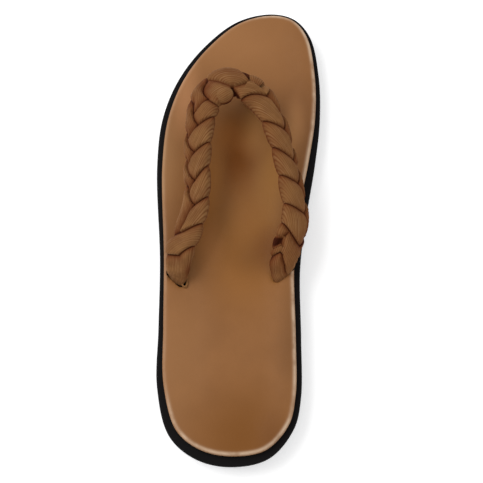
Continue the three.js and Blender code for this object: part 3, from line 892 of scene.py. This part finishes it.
def leg_leaves(way, end, x, front):
    """The leaves of a leg, from the middle outwards: each with its rings' runs, how far along the leaf
    they are, and height, darkness, rib and side of the seam for all their points."""
    rows = LEAF_ENDS[way]
    middle = np.array([*GAP_LINE, (HALF_FACE, GAP_LINE[-1, 1])]) * (1, way)
    level = np.array([(-HALF_FACE, end), (HALF_FACE, end)])
    lines = [middle, *(end_line(*row) for row in rows), level]
    for number, (start, stop) in enumerate(zip(lines[:-1], lines[1:])):
        # underneath, a ring runs straight between the ends of its line
        first, last = (np.where(front, follow(x, line), follow(x, line[[0, -1]])) for line in (start, stop))
        steps = int(np.ceil(np.mean(last - first) / RING_STEP))
        share = np.linspace(LEAF_MARGIN, 1 - LEAF_MARGIN, steps + 1)[:, None]
        run = first + (last - first) * share
        across = np.broadcast_to(x, run.shape)
        if number == 0:
            made = knot_leaf(way, across, run, stop, rows[0])
        elif number <= LAST_PAIR:
            made = plain_leaf(number, way, across, run, share, start, stop, rows[number - 1:number + 1])
        else:
            made = end_leaf(number, way, across, run, start, stop, rows)
        yield number, run, share, made


def knot_hollows(way, x, run, around, side):
    """The gap in the knot's middle and the hollow beside the ball: how deep, and how dark their painted
    shade is.
    """
    middle, width = (follow(around, GAP_HOLLOW, k) for k in (1, 2))
    inside = 1 - smooth((around - PIT_TO[0]) / PIT_TO[1])
    inside = inside * (1 - smooth((PIT_FROM[0] - around) / PIT_FROM[1]))
    pit = smooth((PIT_REACH - np.abs(way * run - middle) / width) / PIT_EDGE) * inside
    dip = np.exp(-((run - DIP_RUN) / DIP_LENGTH) ** 2 - ((x - DIP_X) / DIP_WIDTH) ** 2)
    dip = dip * (side < 0) * (way < 0)
    return DIP * dip + PIT * pit, np.maximum(DIP_DARK * dip, pit)


def streak_place(way, number, rib, side):
    """Where a leaf's ribs lie in the streaks' pattern. The arch and the long leaf are not stepped."""
    inner = INNER_START + INNER_STEP * (number + LEG_STEPS * (way > 0))
    outer = OUTER_STEP * number * way * (way < 0 or number <= LAST_PAIR)
    return rib + np.where(side < 0, inner, outer)


def plait(material):
    """The strap as one surface: its rings follow the ends of the leaves, which lie over each other."""
    section, around = strap_section()
    normal = normals(section * (HALF_FACE, FACE_DEPTH))
    x = section[:, 0] * HALF_FACE
    front = np.arange(len(section)) < FRONT_STEPS
    facing = np.where(front, normal[:, 1] ** 2, 0)

    rings = []
    for way, end in ((-1, -STATION_RUNS[0]), (1, STATION_RUNS[-1])):
        leg = []
        for number, run, share, (height, dark, rib, side) in leg_leaves(way, end, x, front):
            notch = NOTCH * (1 - np.abs(2 * share - 1) ** 3)
            uneven = 1 - UNEVEN + UNEVEN * np.sin(UNEVEN_PITCH * rib + UNEVEN_SHIFT * number)
            groove = uneven * (0.5 + 0.5 * np.cos(2 * np.pi * rib / RIB_PITCH)) ** RIB_SHARPNESS
            swell = facing * height + (1 - facing) * notch - RIB * groove
            if number == 0:
                hollow, hollow_dark = knot_hollows(way, x, run, around, side)
                swell = swell - hollow
                dark = np.maximum(dark, hollow_dark)
            dark = np.where(front, dark, BACK_DARK)
            leg += list(zip(way * run, swell, groove, dark, streak_place(way, number, rib, side)))
        rings += reversed(leg) if way < 0 else leg

    place, swell, groove, dark, thread = (np.array(column) for column in zip(*rings))
    middle, _, wide, face, reach, thick = strap_at(place)
    swell = swell * np.clip(thick / 2, 0.2, 1)
    outer, inner = (follow(place, SIDES, k) for k in (1, 2))
    half_width = reach + STRAP_WIDTH + np.where(section[:, 0] > 0, outer, inner)
    sideways = section[:, 0] * half_width + normal[:, 0] * swell
    up = section[:, 1] * (thick + STRAP_DEPTH) + normal[:, 1] * swell
    points = middle + wide * sideways[..., None] + face * up[..., None]
    girth = around[0] * 4
    # the painted darkening of STRAP_SHADES
    for shade_run, shade_around, along, across, strength in STRAP_SHADES:
        beside = (around - shade_around + girth / 2) % girth - girth / 2
        shade = strength * np.exp(-((place - shade_run) / along) ** 2 - (beside / across) ** 2)
        dark = 1 - (1 - dark) * (1 - shade)
    return tube("strap_plait", points, material, groove=groove, gap=dark, thread=thread, run=place)


def knot_ball(material):
    """The rounded loop in the knot: a ribbed oval, partly sunk in the plait."""
    middle, along, wide, face, _, _ = strap_at(BALL_PLACE[0])
    middle = middle + wide * BALL_PLACE[1] + face * BALL_PLACE[2]
    sides = BALL_RIBS * RIB_POINTS
    turn = np.arange(sides) / sides * 2 * np.pi
    slope = (np.linspace(1 - BALL_POLE, BALL_POLE, BALL_RINGS) * np.pi)[:, None]
    groove = (0.5 + 0.5 * np.cos(BALL_RIBS * turn)) ** RIB_SHARPNESS * np.sin(slope)
    size = 1 - BALL_RIB * groove / BALL_SIZE[1]
    ahead = np.cos(slope) * BALL_SIZE[0]
    aside, above = np.sin(slope) * np.cos(turn), np.sin(slope) * np.sin(turn)
    points = (middle + along * ahead[..., None] + wide * (aside * size * BALL_SIZE[1])[..., None]
              + face * (above * size * BALL_SIZE[2])[..., None])
    dark = BALL_DARK * (1 - smooth((above - BALL_DARK_FROM) / BALL_DARK_EASE))
    thread, run = turn * BALL_SIZE[1], ahead + BALL_PLACE[0]
    return tube("strap_knot_ball", points, material, groove=groove, gap=dark, thread=thread, run=run)


def on_strap(run, angle, lift):
    """A place at an angle round the strap, lift above its surface."""
    middle, _, sideways, up, reach, depth = strap_at(run)
    half_width = reach + STRAP_WIDTH + lift
    half_depth = depth + STRAP_DEPTH + LEAF_STEP * 0.6 + lift
    turn = np.radians(angle)
    return middle + sideways * half_width * np.cos(turn) + up * half_depth * np.sin(turn)


def toe_post(material):
    rows = POST_FOOT.copy()
    rows[:, 2] += footbed_top(POST_HOLE[1])
    rows = np.concatenate([rows, [on_strap(*row) for row in POST_TOP]])
    middle = evenly(catmull(rows, False, POST_CURVE), POST_STEPS)
    along = unit(np.gradient(middle, axis=0))
    place = np.linspace(0, 1, POST_STEPS + 1)
    share = smooth(place * POST_TURNED)[:, None]
    foot = np.radians(POST_HOLE[4])
    flat = np.array([np.cos(foot), np.sin(foot), 0]) * (1 - share) + strap_at(POST_TOP[0][0])[1] * share
    across = unit(flat - along * np.sum(along * flat, axis=1)[:, None])
    section, groove = ribbed_section(POST_WIDTH, POST_THICKNESS, POST_FLATNESS)
    narrower, dark = (sum(change * smooth((place - start) / over) for start, over, change in steps)
                      for steps in (POST_NARROWS, POST_DARKENS))
    return sweep("toe_post_tape", middle, across, section, groove, material, 1 - narrower, dark)


def end_loop(material):
    """The small loop beside the tip of the outer leg. Both its ends go down into the slot."""
    share = np.linspace(0, 1, LOOP_STEPS + 1)
    angle = np.pi / 2 + LOOP_OPEN + 2 * (np.pi - LOOP_OPEN) * share
    flat = turned(oval(angle) * LOOP_SIZE, LOOP_TURN) + LOOP_PLACE
    arched = np.sin(np.pi * share)
    middle = np.column_stack([flat, footbed_top(LOOP_PLACE[1]) - LOOP_SUNK + LOOP_RISE * arched])
    across = unit(np.cross(np.gradient(middle, axis=0), (0, 0, 1)))
    section, groove = ribbed_section(LOOP_CORD, LOOP_CORD)
    # painted shade towards its ends, where they go down into the slot
    dark = 0.5 * (1 - smooth(arched * 2))
    width = np.ones(len(share))
    return sweep("strap_end_loop", middle, across, section, groove * 0, material, width, dark)


# ---- the pieces of the sole

def outsole(material):
    def tread(x, y, distance):
        wave = y + TREAD_WAVE * np.sin(x * 2 * np.pi / TREAD_WAVELENGTH)
        rib = np.abs((wave / TREAD_PITCH) % 1 - 0.5) * 2
        groove = smooth((TREAD_SHARE - rib) / TREAD_SLOPE)
        return TREAD_DEPTH * groove * smooth((distance - TREAD_MARGIN) / TREAD_EASE)

    return layer("outsole_rubber_sole", OUTSOLE_PROFILE, underside, outsole_top, material, lower=tread)


def midsole(material):
    def low(y):
        return outsole_top(y) + GAP

    piece = layer("midsole_foam_sole", MIDSOLE_PROFILE, low, midsole_top, material)
    cut(piece, [POST_HOLE], low(POST_HOLE[1]) + HOLE_FLOOR)
    return piece


def footbed(material):
    def press(x, y, distance):
        sag = -DISH * smooth(distance / DISH_EASE)
        for opening, depth, reach in DIPS:
            sag = sag - depth * np.exp(-np.maximum(slot_distance(x, y, opening), 0) / reach)
        return sag

    piece = layer("footbed_leather_pad", FOOTBED_PROFILE, lambda y: midsole_top(y) + GAP, footbed_top,
                  material, ledge=EDGE[:, 2], raise_top=press)
    cut(piece, [OUTER_SLOT, INNER_SLOT, POST_HOLE], CUT_LOW)
    # marks the painted highlight along the rim
    paint_rim_highlight(piece)
    return piece


def paint_rim_highlight(piece):
    """Marks where a highlight is painted on the pad's rim: most on its inner side and at the heel."""
    flat = np.empty(3 * len(piece.data.vertices))
    piece.data.vertices.foreach_get("co", flat)
    place = flat.reshape(-1, 3)[:, :2] / MM
    edge = EDGE[:, :2] + INWARDS * EDGE[:, 2:]
    distance = np.array([np.hypot(*(edge - spot).T).min() for spot in place])
    near = np.exp(-((distance - HIGHLIGHT_FROM_EDGE) / HIGHLIGHT_WIDTH) ** 2)
    inner, heel = smooth((place - (HIGHLIGHT_X, 0)) / HIGHLIGHT_EASE)[:, 0], smooth((HIGHLIGHT_Y - place[:, 1]) / HIGHLIGHT_EASE)
    set_floats(piece.data, rim=near * np.clip(HIGHLIGHT_LEAST + inner + heel, 0, 1))


# ---- the setting

def camera():
    """Looks down on the slipper from above its heel, a little turned, as the photograph does."""
    lens = bpy.data.cameras.new("camera")
    lens.sensor_width = CAMERA_SENSOR
    lens.lens = CAMERA_LENS
    lens.clip_end = 20
    view = new_object("camera", lens)
    right = Vector(CAMERA_RIGHT).normalized()
    back = right.cross(Vector(CAMERA_UP)).normalized()
    view.matrix_world = Matrix((right, back.cross(right), back)).transposed().to_4x4()
    view.matrix_world.translation = Vector(CAMERA_PLACE) * MM
    bpy.context.scene.camera = view


def light():
    world = bpy.data.worlds.new("world")
    bpy.context.scene.world = world
    world.use_nodes = True
    sky = world.node_tree.nodes["Background"]
    sky.inputs["Color"].default_value = (1, 1, 1, 1)
    sky.inputs["Strength"].default_value = SKY
    for name, place, size, power in LAMPS:
        lamp = bpy.data.lights.new(name, "AREA")
        lamp.size = size
        lamp.energy = power
        holder = new_object(name, lamp)
        holder.location = place
        holder.rotation_euler = Vector(place).to_track_quat("Z", "Y").to_euler()


def floor():
    nodes = Nodes("pale_floor", roughness=0.9, specular=0.1)
    nodes.set("Base Color", (0.93, 0.93, 0.93, 1))
    nodes.set("Emission Color", (1, 1, 1, 1))
    nodes.set("Emission Strength", FLOOR_GLOW)
    corners = [(x * FLOOR_HALF, y * FLOOR_HALF, FLOOR_DROP) for x, y in ((-1, -1), (1, -1), (1, 1), (-1, 1))]
    ground = new_mesh("floor", np.array(corners, dtype=float), [(0, 1, 2, 3)], nodes.material)


def main():
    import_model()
    camera()
    light()
    floor()
    tan = leather()
    tape = ribbed_tape()
    pieces = (
        (outsole(outsole_rubber()), "outsole", "outsole_rubber"),
        (midsole(midsole_foam()), "midsole", "midsole_foam"),
        (footbed(tan), "footbed", "footbed_leather"),
        (toe_post(tape), "toe_post", "strap_tape"),
        (plait(tape), "braided_strap", "strap_tape"),
        (knot_ball(tape), "braided_strap", "strap_tape"),
        (end_loop(tape), "braided_strap", "strap_tape"),
    )
    for piece, node, slot in pieces:
        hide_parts(node)
        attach(piece, "root")
    bpy.context.scene.view_settings.view_transform = "Standard"


main()
